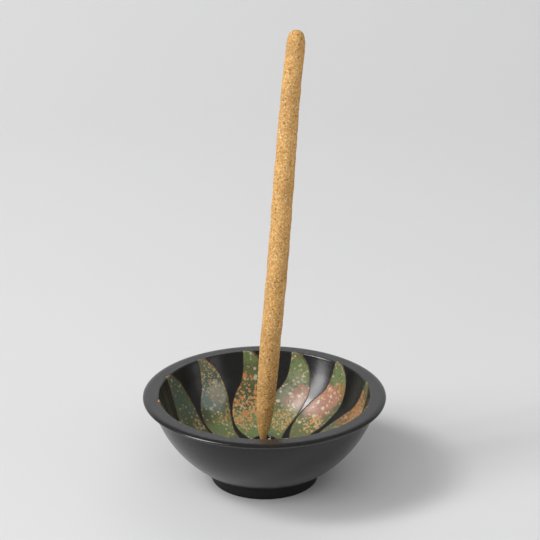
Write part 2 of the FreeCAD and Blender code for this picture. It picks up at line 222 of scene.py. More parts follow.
def colour(name, description, default):
    """A colour in linear red, green and blue."""
    return bpy.props.FloatVectorProperty(
        name=name, description=description, default=default, size=3, min=0.0, max=1.0, subtype="COLOR"
    )


def refraction(name, description, default):
    """An index of refraction."""
    return bpy.props.FloatProperty(name=name, description=description, default=default, min=1.0, max=3.0)


def power(name, description, default):
    """The power of a light."""
    return bpy.props.FloatProperty(name=name, description=description, default=default, unit="POWER")


class BowlSettings(bpy.types.PropertyGroup):
    """Sizes and colours of the bowl."""

    rim_radius: length("Rim radius", "Axis to the outside of the lip", BOWL_HIGH.x)
    height: length("Height", "Table to the top of the inside wall's arc", BOWL_HIGH.z)
    brim_sink: length("Brim sink", "How far the worn brim lies below the height", 0.2 * MM)
    lip_width: length("Lip width", "Flat land of the lip, inner edge to outer edge", 5.8 * MM)
    lip_tilt: angle("Lip tilt", "Slope of the land, upwards to the outside", math.radians(1.3))
    lip_level: length("Lip level", "Table to the middle of the lip's edge", BOWL_HIGH.z - 0.95 * MM)
    lip_edge: length("Lip edge", "Rounding of the lip's edge on its underside", 0.55 * MM)
    lip_roll: length("Lip roll", "How far in from the edge the land starts to roll over", 1.9 * MM)
    cove: length("Cove", "Hollow rounding under the lip", 0.6 * MM)
    brim_round: length("Brim rounding", "Rounding between the land and the inside wall", 0.8 * MM)
    wall_ease: length("Wall ease", "How far the turned inside wall eases outwards under the brim", 0.17 * MM)
    ease_run: length("Ease run", "Length of wall under the brim that eases outwards", 5.0 * MM)
    wall_top: length("Wall at the top", "Wall under the lip", 2.9 * MM)
    wall_middle: length("Wall half way", "Wall half way down", 3.3 * MM)
    floor_level: length("Floor level", "Inside floor above the table", SOCKET_LOW.z)
    floor_radius: length("Floor radius", "Flat part of the inside floor", SOCKET_HIGH.x + 0.8 * MM)
    foot_radius: length("Foot radius", "Outside of the foot ring at the table", 18.7 * MM)
    foot_height: length("Foot height", "Table to the bottom of the wall", 3.55 * MM)
    foot_taper: length("Foot taper", "How much the foot ring draws in at its top", 0.2 * MM)
    foot_ring: length("Foot ring", "Width of the ring that stands on the table", 3.6 * MM)
    foot_recess: length("Foot recess", "Hollow inside the foot ring", 1.6 * MM)
    foot_round: length("Foot rounding", "Rounding of the foot ring's edges", 0.35 * MM)
    bore_radius: length("Bore radius", "Hole that takes the nib of the stick", 1.54 * MM)
    bore_bottom: length("Bore bottom", "End of the hole above the table", SOCKET_LOW.z - 2.0 * MM)
    groove_width: length("Line width", "Line of bare clay round a petal", 0.3 * MM)
    groove_depth: length("Line depth", "Depth of the line round a petal", 0.12 * MM)
    pocket_depth: length("Pocket depth", "Depth of the bed under a petal", 0.55 * MM)
    gloss: refraction("Gloss", "Index of refraction of the burnished inside", 1.6)
    wall_gloss: refraction("Wall gloss", "Index of refraction of the satin outside", 1.46)
    foot_gloss: refraction("Foot gloss", "Index of refraction of the dull foot", 1.3)
    clay: colour("Clay", "Burnished black clay", (0.009, 0.009, 0.0092))
    # Brown for the underside of the lip's edge: partly wear, partly a painted highlight of the pale line of
    # light there
    clay_worn_and_highlight: colour("Worn clay", "Brown where the black has rubbed thin", (0.075, 0.050, 0.032))
    clay_bare: colour("Bare clay", "Line round the petals", (0.17, 0.105, 0.06))


class PetalSettings(bpy.types.PropertyGroup):
    """Sizes and slip colours of the petals."""

    first_turn: angle("First petal", "Direction of the first petal from +X", math.radians(10))
    stray: bpy.props.FloatVectorProperty(
        name="Strays", description="How far each petal is turned off its even place", size=len(PETAL_NODES),
        default=tuple(math.radians(turn) for turn in PETAL_STRAYS), unit="ROTATION",
    )
    root_radius: length("Root radius", "Axis to the petals' roots", 9.8 * MM)
    tip_radius: length("Tip radius", "Axis to the petals' tips", 37.5 * MM)
    thickness: length("Thickness", "Thickness of an inlay", 0.5 * MM)
    crown: length("Crown", "How far a petal's middle stands proud", 0.05 * MM)
    edge_drop: length("Edge drop", "How far a petal's edge lies below the wall", 0.05 * MM)
    olive: colour("Olive", "Olive slip", (0.170, 0.180, 0.075))
    moss: colour("Moss", "Dark green slip", (0.085, 0.110, 0.050))
    green: colour("Green", "Leaf green slip", (0.190, 0.255, 0.095))
    teal: colour("Teal", "Blue-green slip", (0.090, 0.140, 0.110))
    mist: colour("Mist", "Pale blue-grey slip", (0.230, 0.310, 0.290))
    ash: colour("Ash", "Warm grey slip", (0.400, 0.380, 0.300))
    pink: colour("Pink", "Pink slip", (0.480, 0.220, 0.160))
    rust: colour("Rust", "Red-brown slip", (0.400, 0.180, 0.075))
    orange: colour("Orange", "Large orange drops", (0.660, 0.270, 0.090))
    amber: colour("Amber", "Small orange drops", (0.680, 0.340, 0.130))
    gold: colour("Gold", "Fine golden drops", (0.640, 0.470, 0.240))
    cream: colour("Cream", "Cream drops", (0.680, 0.590, 0.410))


class SocketSettings(bpy.types.PropertyGroup):
    """Sizes and colour of the stick socket."""

    base_radius: length("Base radius", "Foot of the socket", SOCKET_HIGH.x)
    top_radius: length("Top radius", "Outside of the mouth", 4.75 * MM)
    base_edge: length("Base edge", "Straight edge at the foot", 0.7 * MM)
    waist: length("Waist", "How far the side draws in from straight", 0.5 * MM)
    crest: length("Crest", "Half-round crest of the mouth", 0.55 * MM)
    dish: length("Dish", "Crest down to where the bore starts", 1.8 * MM)
    glaze: colour("Glaze", "Polished black", (0.009, 0.010, 0.012))


class StickSettings(bpy.types.PropertyGroup):
    """Sizes and colours of the incense stick."""

    size: length("Length", "Nib to tip", 155.0 * MM)
    dome: length("Dome", "Length of the rounded tip", 6.0 * MM)
    foot_level: length("Foot level", "End of the nib above the table", SOCKET_LOW.z - 1.88 * MM)
    lean: angle("Lean", "Lean from upright, towards +X", LEAN)
    lumps: length("Lumps", "Unevenness left by rolling", 0.15 * MM)
    grain: length("Grain", "Height of the grains", 0.10 * MM)
    paste: colour("Paste", "Rolled paste", (0.900, 0.530, 0.185))
    paste_pale: colour("Pale paste", "Dry, pale grains", (0.980, 0.790, 0.460))
    paste_dark: colour("Dark paste", "Darker, redder patches", (0.510, 0.265, 0.088))
    pits: colour("Pits", "Pits between the grains", (0.270, 0.115, 0.030))


class StageSettings(bpy.types.PropertyGroup):
    """Camera, light and floor."""

    target: bpy.props.FloatVectorProperty(
        name="Target", description="Point that the camera looks at", default=(0.001907, 0.0, 0.076956),
        subtype="XYZ", unit="LENGTH", precision=5,
    )
    distance: length("Distance", "Camera to its target", 0.600)
    pitch: angle("Pitch", "How far the camera looks down", math.radians(20.535))
    lens: bpy.props.FloatProperty(
        name="Lens", description="Focal length for a 36 mm sensor", default=118.77, unit="CAMERA"
    )
    floor: colour("Floor", "Pale floor and backdrop", (0.78, 0.78, 0.785))
    sky: bpy.props.FloatProperty(name="Sky", description="Strength of the even light", default=0.22, min=0.0)
    key: power("Key", "Power of the tall soft light at the front left", 24.5)
    high: power("High", "Power of the small soft light above the key", 8.8)
    fill: power("Fill", "Power of the weak soft light at the right", 0.9)
    front: power("Front", "Power of the wide soft light above the camera", 9.3)
    back: power("Back", "Power of the wide soft light over the backdrop", 2.8)


def arc(start, middle, end, steps):
    """Points of the arc through three points, without its end."""
    first, via, last = (complex(*point) for point in (start, middle, end))
    skew = (last - first) / (via - first)
    centre = first + (via - first) * (skew - abs(skew) ** 2) / (2j * skew.imag)
    sweep = cmath.phase((via - centre) / (first - centre)) + cmath.phase((last - centre) / (via - centre))
    points = centre + (first - centre) * np.exp(1j * np.linspace(0, sweep, steps, endpoint=False))
    return np.column_stack([points.real, points.imag])


def trace(points, route, steps):
    """Points along a closed route of lines, to one named point, and arcs, through a point and to the next."""
    track = []
    here = points[route[0]]
    for stop in (*route[1:], route[0]):
        if isinstance(stop, tuple):
            middle, end = (points[name] for name in stop)
            track.append(arc(here, middle, end, steps))
        else:
            end = points[stop]
            track.append(np.linspace(here, end, steps, endpoint=False))
        here = end
    return np.concatenate(track)


def rounded(corners, steps):
    """Points along an open line whose corners, of a radius each, are rounded."""
    track = [np.array(corners[0][:2])]
    for before, (x, y, radius), after in zip(corners, corners[1:], corners[2:]):
        corner = Vector((x, y))
        back, ahead = (Vector(before[:2]) - corner).normalized(), (Vector(after[:2]) - corner).normalized()
        half = back.angle(ahead) / 2
        start, end = (corner + way * (radius / math.tan(half)) for way in (back, ahead))
        centre = corner + (back + ahead).normalized() * (radius / math.sin(half))
        middle = centre + (corner - centre).normalized() * radius
        track.extend(arc(start, middle, end, steps))
        track.append(np.array(end))
    track.append(np.array(corners[-1][:2]))
    return np.array(track)


def grown(outline, margin):
    """A closed clockwise outline moved outwards by a margin, round at its outward corners."""
    ahead = np.roll(outline, -1, axis=0) - outline
    facing = np.arctan2(ahead[:, 0], -ahead[:, 1])
    points = []
    for point, old, new in zip(outline, np.roll(facing, 1), facing):
        turn = (new - old + math.pi) % math.tau - math.pi
        fan = max(1, math.ceil(-turn / FAN_STEP))
        for way in old + turn * (np.arange(fan) + 0.5) / fan:
            points.append(point + margin * np.array([math.cos(way), math.sin(way)]))
    return np.array(points)


class Field:
    """The right and left edges of a petal, or of its recess, as turns at a radius."""

    def __init__(self, outline):
        radius = np.hypot(*outline.T)
        turn = np.arctan2(outline[:, 1], outline[:, 0])
        start = radius.argmin()
        radius, turn = (np.append(np.roll(row, -start), row[start]) for row in (radius, turn))
        peak = radius.argmax()
        self.root, self.tip = radius[0], radius[peak]
        self.left = np.maximum.accumulate(radius[:peak + 1]), turn[:peak + 1]
        self.right = np.maximum.accumulate(radius[peak:][::-1]), turn[peak:][::-1]

    def edges(self, radius):
        """Turns of the right and the left edge, which meet at the root and the tip and beyond."""
        return np.interp(radius, *self.right), np.interp(radius, *self.left)


class Inside:
    """The bowl's inside cut through its axis: floor, wall arc, the brim's rounding and the land of the lip.

    A place on it is the length along it from where the wall leaves the floor.
    """

    def __init__(self, bowl):
        self.run = bowl.rim_radius - bowl.lip_width - bowl.floor_radius
        self.rise = bowl.height - bowl.brim_round - bowl.floor_level
        self.flat, self.round = bowl.floor_radius, bowl.brim_round
        self.top = bowl.height - bowl.brim_sink
        self.ease, self.ease_run = bowl.wall_ease, bowl.ease_run
        self.sweep = (self.run ** 2 + self.rise ** 2) / (2 * self.rise)
        self.centre = bowl.floor_level + self.sweep
        reach = self.sweep + self.round
        self.brim = self.flat + math.sqrt(reach ** 2 - (self.centre - self.top + self.round) ** 2)
        self.turn = math.asin((self.brim - self.flat) / reach)
        self.wall_end = self.sweep * self.turn
        self.brim_end = self.wall_end + self.round * self.turn
        self.tilt = bowl.lip_tilt
        self.land = bowl.rim_radius - bowl.lip_roll - self.brim
        self.end = self.brim_end + self.land / math.cos(self.tilt)

    def place(self, radius):
        """Length along the section at a radius on the wall or on the land."""
        if radius < self.flat + self.sweep * math.sin(self.turn):
            return self.sweep * math.asin((radius - self.flat) / self.sweep)
        return self.brim_end + (radius - self.brim) / math.cos(self.tilt)

    def at(self, along):
        """Radius and level, and the direction out of the clay, at places along the section."""
        on_wall = np.clip(along, 0, self.wall_end) / self.sweep
        on_brim = (self.brim_end - np.clip(along, self.wall_end, self.brim_end)) / self.round
        wall = along < self.wall_end
        brim = ~wall & (along < self.brim_end)
        out = np.where(wall, on_wall, np.where(brim, on_brim, self.tilt))
        on_land = along - self.brim_end
        under_brim = np.clip((along - self.wall_end) / self.ease_run + 1, -2, 1)
        swell = np.where(under_brim > 0, 2 * under_brim ** 2 - 1, -(1 + np.cos(under_brim * math.pi / 2)) / 2)
        give = self.ease * np.where(wall, swell, (1 - np.cos(math.pi * on_brim / self.turn)) / 2)
        sweep, edge = self.sweep + give, self.round - give
        radius = np.select(
            [along < 0, wall, brim],
            [self.flat + along, self.flat + sweep * np.sin(on_wall), self.brim - edge * np.sin(on_brim)],
            self.brim + on_land * math.cos(self.tilt),
        )
        level = np.select(
            [wall, brim],
            [self.centre - sweep * np.cos(on_wall), self.top - self.round + edge * np.cos(on_brim)],
            self.top + on_land * math.sin(self.tilt),
        )
        return radius, level, -np.sin(out), np.cos(out)


def petal_fields(bowl, petal):
    """The field of one petal along +X, and the field of its recess with the line of bare clay."""
    points = {}
    for name, (part, turn) in PETAL_POINTS.items():
        radius = petal.root_radius + part * (petal.tip_radius - petal.root_radius)
        points[name] = (radius * math.cos(turn * PITCH), radius * math.sin(turn * PITCH))
    outline = trace(points, PETAL_ROUTE, steps=40)
    return Field(outline), Field(grown(outline, bowl.groove_width))


def petal_ways(petal):
    """Direction of each petal, and of the first one again after a full turn."""
    ways = [petal.first_turn + number * PITCH + stray for number, stray in enumerate(petal.stray)]
    return [*ways, ways[0] + math.tau]


def petal_rows(inside, field, recess, count=150, crowding=0.8):
    """Places along the section from the recess's root to its tip, closer at both ends."""
    even = np.linspace(0, 1, count)
    eased = even - crowding * np.sin(math.tau * even) / math.tau
    first, last = inside.place(recess.root), inside.place(recess.tip)
    ends = [inside.place(field.root), inside.place(field.tip)]
    return np.sort(np.append(first + (last - first) * eased, ends))


def polar(radius, turn, level):
    """Points from radius, turn and level."""
    return np.stack(np.broadcast_arrays(radius * np.cos(turn), radius * np.sin(turn), level), axis=-1)


def turned_by(points, turn):
    """Points turned about Z."""
    cos, sin = math.cos(turn), math.sin(turn)
    return points @ np.array([[cos, sin, 0], [-sin, cos, 0], [0, 0, 1]])


class Shell:
    """Grids of points that are welded into one closed mesh."""

    def __init__(self):
        self.points, self.faces, self.finishes = [], [], []
        self.size = 0

    def add(self, grid, finish=0):
        """Adds a grid of points, rows by columns."""
        rows, columns = grid.shape[:2]
        spots = self.size + np.arange(rows * columns).reshape(rows, columns)
        corners = [spots[:-1, :-1], spots[:-1, 1:], spots[1:, 1:], spots[1:, :-1]]
        quads = np.stack(corners, axis=-1).reshape(-1, 4)
        self.points.append(grid.reshape(-1, 3))
        self.faces.append(quads)
        self.finishes.append(np.full(len(quads), finish))
        self.size += rows * columns

    def build(self, name, finishes):
        """The welded, smooth-shaded object."""
        mesh = bpy.data.meshes.new(name)
        mesh.from_pydata(np.concatenate(self.points).tolist(), [], np.concatenate(self.faces).tolist())
        for finish in finishes:
            mesh.materials.append(finish)
        mesh.polygons.foreach_set("material_index", np.concatenate(self.finishes).astype(np.int32))
        work = bmesh.new()
        work.from_mesh(mesh)
        bmesh.ops.remove_doubles(work, verts=work.verts, dist=WELD_GAP)
        bmesh.ops.recalc_face_normals(work, faces=work.faces)
        open_edges = sum(not edge.is_manifold for edge in work.edges)
        work.to_mesh(mesh)
        work.free()
        if open_edges:
            raise RuntimeError(f"{name} has {open_edges} open edges")
        mesh.polygons.foreach_set("use_smooth", np.ones(len(mesh.polygons), bool))
        mesh.set_sharp_from_angle(angle=SHARP_ANGLE)
        item = bpy.data.objects.new(name, mesh)
        bpy.context.scene.collection.objects.link(item)
        return item


def set_inputs(tree, node, inputs):
    """Sets a node's inputs to values, or joins them to other nodes' outputs."""
    for name, value in inputs.items():
        if isinstance(value, bpy.types.NodeSocket):
            tree.links.new(value, node.inputs[name])
        else:
            node.inputs[name].default_value = value


def put(tree, kind, inputs=None, **settings):
    """A new shader node with its settings and its inputs."""
    node = tree.nodes.new("ShaderNode" + kind)
    for name, value in settings.items():
        setattr(node, name, value)
    set_inputs(tree, node, inputs or {})
    return node


def calc(tree, operation, first, second=0.0, third=0.0):
    """The output of a Math node."""
    return put(tree, "Math", {0: first, 1: second, 2: third}, operation=operation).outputs[0]


def ramp(tree, value, low, high, start=0.0, end=1.0):
    """A value eased from start to end as it goes from low to high."""
    inputs = {0: value, 1: low, 2: high, 3: start, 4: end}
    return put(tree, "MapRange", inputs, interpolation_type="SMOOTHSTEP").outputs[0]


def mixed(tree, part, first, second, strength=1.0):
    """Two colours mixed by a share, which a strength below 1 weakens."""
    if strength < 1.0:
        part = calc(tree, "MULTIPLY", part, strength)
    joined = [item if isinstance(item, bpy.types.NodeSocket) else (*item, 1.0) for item in (first, second)]
    return put(tree, "Mix", {0: part, 6: joined[0], 7: joined[1]}, data_type="RGBA").outputs[2]


def from_axis(tree, place):
    """Distance of a place from the bowl's axis."""
    flat = put(tree, "VectorMath", {0: place, 1: (1.0, 1.0, 0.0)}, operation="MULTIPLY")
    return put(tree, "VectorMath", {0: flat.outputs[0]}, operation="LENGTH").outputs["Value"]


def new_group(name, inputs, outputs):
    """An empty node group with named sockets, its input sockets and its output sockets."""
    tree = bpy.data.node_groups.new(name, "ShaderNodeTree")
    for label, kind in inputs.items():
        tree.interface.new_socket(name=label, in_out="INPUT", socket_type="NodeSocket" + kind)
    for label in outputs:
        tree.interface.new_socket(name=label, in_out="OUTPUT", socket_type="NodeSocketFloat")
    return tree, tree.nodes.new("NodeGroupInput").outputs, tree.nodes.new("NodeGroupOutput").inputs


def use_group(tree, name, inputs):
    """A named group placed in a material, made when it is first used."""
    group = bpy.data.node_groups.get(name) or GROUPS[name]()
    return put(tree, "Group", inputs, node_tree=group).outputs


def mottled(tree, place, scale, low, high):
    """The mask of a mottle group placed in a material."""
    return use_group(tree, "mottle", {"Position": place, "Scale": scale, "Low": low, "High": high})["Mask"]


def speckled(tree, place, scale, size, share, ragged):
    """The mask of a speckle group placed in a material."""
    inputs = {"Position": place, "Scale": scale, "Size": size, "Share": share, "Ragged": ragged}
    return use_group(tree, "speckle", inputs)["Mask"]


def mottle_group():
    """Cloudy variation."""
    tree, given, result = new_group(
        "mottle", {"Position": "Vector", "Scale": "Float", "Low": "Float", "High": "Float"}, ["Mask"]
    )
    cloud = put(tree, "TexNoise", {"Vector": given["Position"], "Scale": given["Scale"], "Detail": 3.0})
    tree.links.new(ramp(tree, cloud.outputs[0], given["Low"], given["High"]), result["Mask"])
    return tree


def speckle_group():
    """Scattered drops or pits of uneven size, in a share of the cells that they are scattered over."""
    sockets = {"Position": "Vector", "Scale": "Float", "Size": "Float", "Share": "Float", "Ragged": "Float"}
    tree, given, result = new_group("speckle", sockets, ["Mask"])
    finer = calc(tree, "MULTIPLY", given["Scale"], 2.3)
    rag = put(tree, "TexNoise", {"Vector": given["Position"], "Scale": finer})
    centred = put(tree, "VectorMath", {0: rag.outputs[1], 1: (0.5, 0.5, 0.5)}, operation="SUBTRACT")
    amount = calc(tree, "DIVIDE", given["Ragged"], given["Scale"])
    shift = put(tree, "VectorMath", {0: centred.outputs[0], "Scale": amount}, operation="SCALE")
    place = put(tree, "VectorMath", {0: given["Position"], 1: shift.outputs[0]}, operation="ADD")
    cells = put(tree, "TexVoronoi", {"Vector": place.outputs[0], "Scale": given["Scale"]})
    chance = put(tree, "SeparateColor", {0: cells.outputs["Color"]})
    radius = calc(tree, "MULTIPLY", given["Size"], calc(tree, "MULTIPLY_ADD", chance.outputs[0], 0.75, 0.25))
    inner = calc(tree, "MULTIPLY", radius, 0.6)
    drop = ramp(tree, cells.outputs["Distance"], inner, radius, 1.0, 0.0)
    kept = calc(tree, "LESS_THAN", chance.outputs[1], given["Share"])
    tree.links.new(calc(tree, "MULTIPLY", drop, kept), result["Mask"])
    return tree


def patch_group():
    """A soft, uneven spot round a point."""
    sockets = {"Position": "Vector", "Centre": "Vector", "Reach": "Float"}
    tree, given, result = new_group("patch", sockets, ["Mask"])
    away = put(tree, "VectorMath", {0: given["Position"], 1: given["Centre"]}, operation="DISTANCE")
    look = {"Vector": given["Position"], "Scale": 480.0, "Detail": 4.0, "Roughness": 0.7}
    cloud = put(tree, "TexNoise", look)
    uneven = calc(tree, "MULTIPLY_ADD", cloud.outputs[0], 1.5, 0.25)
    near = calc(tree, "DIVIDE", calc(tree, "MULTIPLY", away.outputs["Value"], uneven), given["Reach"])
    tree.links.new(ramp(tree, near, 1.0, 0.5), result["Mask"])
    return tree


def strokes_group():
    """Fine strokes that run round the axis, as a turned and burnished surface has."""
    tree, given, result = new_group(
        "strokes", {"Position": "Vector", "Fineness": "Float", "Run": "Float"}, ["Height"]
    )
    spot = put(tree, "SeparateXYZ", {0: given["Position"]})
    turn = calc(tree, "ARCTAN2", spot.outputs[0], spot.outputs[1])
    across = calc(tree, "MULTIPLY", from_axis(tree, given["Position"]), given["Fineness"])
    up = calc(tree, "MULTIPLY", spot.outputs[2], given["Fineness"])
    along = calc(tree, "MULTIPLY", turn, given["Run"])
    place = put(tree, "CombineXYZ", {0: along, 1: across, 2: up})
    streak = put(tree, "TexNoise", {"Vector": place.outputs[0], "Scale": 1.0, "Detail": 2.0})
    tree.links.new(streak.outputs[0], result["Height"])
    return tree


GROUPS = {"mottle": mottle_group, "speckle": speckle_group, "patch": patch_group, "strokes": strokes_group}


def new_material(name):
    """An empty procedural material, its shader and its object coordinates."""
    material = bpy.data.materials.new(name)
    material.use_nodes = True
    tree = material.node_tree
    shader = tree.nodes["Principled BSDF"]
    place = put(tree, "TexCoord").outputs["Object"]
    return material, tree, shader, place


def set_bump(tree, shader, height, distance, strength):
    """Joins a height to the shader's normal."""
    bump = put(tree, "Bump", {"Height": height, "Distance": distance, "Strength": strength})
    tree.links.new(bump.outputs[0], shader.inputs["Normal"])


def clay_base(name, bowl, roughness, gloss):
    """Black clay with its turning strokes, a roughness and an index of refraction."""
    material, tree, shader, place = new_material(name)
    cloud = mottled(tree, place, scale=55.0, low=0.35, high=0.7)
    fine = mottled(tree, place, scale=900.0, low=0.3, high=0.75)
    strokes = use_group(tree, "strokes", {"Position": place, "Fineness": 2600.0, "Run": 5.0})["Height"]
    pale = tuple(value * 2.0 for value in bowl.clay)
    body = mixed(tree, fine, bowl.clay, pale, strength=0.6)
    sheen = calc(tree, "MULTIPLY_ADD", cloud, 0.05, roughness)
    sheen = calc(tree, "MULTIPLY_ADD", strokes, 0.08, sheen)
    set_inputs(tree, shader, {"Base Color": body, "Roughness": sheen, "IOR": gloss})
    height = calc(tree, "MULTIPLY_ADD", fine, 0.4, strokes)
    set_bump(tree, shader, height, distance=0.02 * MM, strength=0.2)
    return material, tree, shader, place, body


def black_clay(bowl):
    """Burnished clay of the inside and the lip, brown on the underside of the lip's edge: partly rubbed clay,
    partly a painted highlight of the pale line of light under the lip.
    """
    material, tree, shader, place, body = clay_base("black_clay", bowl, roughness=0.15, gloss=bowl.gloss)
    level = put(tree, "SeparateXYZ", {0: place}).outputs[2]
    radius = from_axis(tree, place)
    # Brown band on the underside of the lip's edge: partly rubbed clay, partly a painted highlight
    on_edge = ramp(tree, radius, bowl.rim_radius - bowl.lip_edge, bowl.rim_radius - bowl.lip_edge / 3)
    below = ramp(tree, level, bowl.lip_level - 0.1 * bowl.lip_edge, bowl.lip_level - 0.6 * bowl.lip_edge)
    rub_and_highlight = mottled(tree, place, scale=240.0, low=0.40, high=0.62)
    worn_and_highlight = calc(tree, "MULTIPLY", calc(tree, "MULTIPLY", on_edge, below), rub_and_highlight)
    set_inputs(tree, shader, {"Base Color": mixed(tree, worn_and_highlight, body, bowl.clay_worn_and_highlight)})
    return material


def satin_clay(bowl):
    """Satin clay of the outside wall."""
    return clay_base("satin_clay", bowl, roughness=0.18, gloss=bowl.wall_gloss)[0]


def foot_clay(bowl):
    """Dull clay of the foot and the underside."""
    return clay_base("foot_clay", bowl, roughness=0.45, gloss=bowl.foot_gloss)[0]


def bare_clay(bowl):
    """Unburnished clay in the line round each petal."""
    material, tree, shader, place = new_material("bare_clay")
    cloud = mottled(tree, place, scale=700.0, low=0.3, high=0.7)
    dark = tuple(value * 0.55 for value in bowl.clay_bare)
    body = mixed(tree, cloud, bowl.clay_bare, dark)
    sheen = ramp(tree, cloud, 0.0, 1.0, start=0.7, end=0.9)
    set_inputs(tree, shader, {"Base Color": body, "Roughness": sheen})
    set_bump(tree, shader, cloud, distance=0.05 * MM, strength=0.5)
    return material


def petal_slip(bowl, petal):
    """Speckled slip: clouds of green, teal and pink under cream, gold and orange drops."""
    material, tree, shader, place = new_material("petal_slip")
    inside = Inside(bowl)
    ways = petal_ways(petal)

    def spot_mask(number, part, sideways, reach):
        out = petal.root_radius + part * (petal.tip_radius - petal.root_radius)
        way = ways[number - 1] + sideways * PITCH
        _, level, _, _ = inside.at(np.array([inside.place(out)]))
        centre = (out * math.cos(way), out * math.sin(way), float(level[0]))
        return use_group(tree, "patch", {"Position": place, "Centre": centre, "Reach": reach * MM})["Mask"]

    tint = mottled(tree, place, scale=260.0, low=0.3, high=0.7)
    body = mixed(tree, tint, petal.olive, petal.moss)
    for *spot, name, strength in SLIP_CLOUDS:
        body = mixed(tree, spot_mask(*spot), body, getattr(petal, name), strength)
    grain = mottled(tree, place, scale=2200.0, low=0.3, high=0.7)
    body = mixed(tree, grain, body, petal.moss, strength=0.22)
    for name, (scale, size, scarce, dense, ragged, strength) in SLIP_DROPS.items():
        share = scarce
        for spot in SLIP_DRIFTS.get(name, ()):
            share = calc(tree, "MULTIPLY_ADD", spot_mask(*spot), dense - scarce, share)
        drops = speckled(tree, place, scale, size, share, ragged)
        body = mixed(tree, drops, body, getattr(petal, name), strength)
    sheen = ramp(tree, tint, 0.0, 1.0, start=0.24, end=0.32)
    set_inputs(tree, shader, {"Base Color": body, "Roughness": sheen, "IOR": bowl.gloss})
    set_bump(tree, shader, grain, distance=0.02 * MM, strength=0.2)
    return material


def socket_glaze(socket):
    """Polished black, with faint turning marks."""
    material, tree, shader, place = new_material("socket_glaze")
    strokes = use_group(tree, "strokes", {"Position": place, "Fineness": 3200.0, "Run": 3.0})["Height"]
    cloud = mottled(tree, place, scale=420.0, low=0.35, high=0.7)
    pale = tuple(value * 2.2 for value in socket.glaze)
    body = mixed(tree, cloud, socket.glaze, pale)
    sheen = ramp(tree, strokes, 0.2, 0.8, start=0.10, end=0.20)
    set_inputs(tree, shader, {"Base Color": body, "Roughness": sheen})
    set_bump(tree, shader, strokes, distance=0.02 * MM, strength=0.25)
    return material


def incense_paste(stick):
    """Rolled paste of fine powder: tan with pale grains, redder patches and dark pits."""
    material, tree, shader, place = new_material("incense_paste")
    patches = mottled(tree, place, scale=120.0, low=0.40, high=0.70)
    grains = mottled(tree, place, scale=1500.0, low=0.33, high=0.64)
    red = speckled(tree, place, scale=1000.0, size=0.62, share=0.45, ragged=0.9)
    pale = speckled(tree, place, scale=1750.0, size=0.74, share=0.62, ragged=0.9)
    pits = speckled(tree, place, scale=1350.0, size=0.62, share=0.24, ragged=0.9)
    body = mixed(tree, patches, stick.paste, stick.paste_dark, strength=0.55)
    body = mixed(tree, red, body, stick.paste_dark, strength=0.60)
    body = mixed(tree, pale, body, stick.paste_pale, strength=0.70)
    body = mixed(tree, grains, body, stick.paste_dark, strength=0.80)
    body = mixed(tree, pits, body, stick.pits, strength=0.75)
    sheen = ramp(tree, grains, 0.0, 1.0, start=0.78, end=0.95)
    set_inputs(tree, shader, {"Base Color": body, "Roughness": sheen, "Specular IOR Level": 0.25})
    raised = calc(tree, "MULTIPLY_ADD", pale, 0.6, grains)
    set_bump(tree, shader, calc(tree, "SUBTRACT", raised, pits), distance=0.12 * MM, strength=0.7)
    return material


def bowl_outside(bowl):
    """Half section of the bowl's outside, from the lip's edge to the middle of the underside."""
    inside = Inside(bowl)
    lip_under = bowl.lip_level - bowl.lip_edge
    roll_rise = inside.top + inside.land * math.tan(inside.tilt) - bowl.lip_level
    head = bowl.rim_radius - bowl.lip_width + bowl.wall_top
    slant = bowl.cove * (1 - math.sqrt(0.5))
    chord = math.hypot(inside.run, inside.rise)
    outer = inside.sweep + bowl.wall_middle
    belly = (bowl.floor_radius + outer * inside.rise / chord, inside.centre - outer * inside.run / chord)
    foot_head = (bowl.foot_radius - bowl.foot_taper, bowl.foot_height)
    wall_head = (head, lip_under - bowl.cove)
    cove_end = (head + bowl.cove, lip_under)
    over = np.linspace(math.pi / 2, -math.pi / 2, LIP_ROWS + 1)[1:]
    wide = np.where(over > 0, bowl.lip_roll, bowl.lip_edge)
    tall = np.where(over > 0, roll_rise, bowl.lip_edge)
    out, up = bowl.rim_radius - wide * (1 - np.cos(over)), bowl.lip_level + tall * np.sin(over)
    edge = np.column_stack([out, up])
    cove = arc(cove_end, (head + slant, lip_under - slant), wall_head, COVE_ROWS)
    wall = arc(wall_head, belly, foot_head, WALL_ROWS)
    ring_inside = bowl.foot_radius - bowl.foot_ring
    foot = rounded(
        [
            (*foot_head, 0.0), (bowl.foot_radius, 0.0, bowl.foot_round), (ring_inside, 0.0, bowl.foot_round),
            (ring_inside, bowl.foot_recess, bowl.foot_round), (0.0, bowl.foot_recess, 0.0),
        ],
        steps=5,
    )
    return np.concatenate([edge, cove, wall, foot])


def raised(section, height, turn):
    """Points at turns, and at heights over places of the inside's section."""
    radius, level, out_r, out_z = (row[:, None] for row in section)
    return polar(radius + out_r * height, turn, level + out_z * height)


def recess_grid(section, bowl, field, recess):
    """The sunk field of one petal: the line's slope and floor, a step down and the bed under the petal."""
    radius = section[0]
    far_right, far_left = recess.edges(radius)
    right, left = field.edges(radius)
    beyond = (radius < field.root) | (radius > field.tip)
    middle = (far_right + far_left) / 2
    right, left = (np.where(beyond, middle, edge) for edge in (right, left))
    width = (far_left - far_right) * radius
    bevel = np.minimum(LINE_SLOPE, width / 4)
    line = bowl.groove_depth * np.minimum(1.0, width / LINE_FULL_WIDTH)
    bed = np.where(beyond, line, np.maximum(bowl.pocket_depth, line))
    slack = BED_SLACK / radius
    slope_right, slope_left = far_right + bevel / radius, far_left - bevel / radius
    step_right, step_left = np.maximum(right - slack, slope_right), np.minimum(left + slack, slope_left)
    none = np.zeros_like(radius)
    columns = [(far_right, none), (slope_right, line), (step_right, line)]
    for part in np.linspace(0, 1, BED_COLUMNS):
        columns.append((step_right + (step_left - step_right) * part, bed))
    columns += [(step_left, line), (slope_left, line), (far_left, none)]
    turn, depth = (np.stack(rows, axis=1) for rows in zip(*columns))
    return raised(section, -depth, turn)


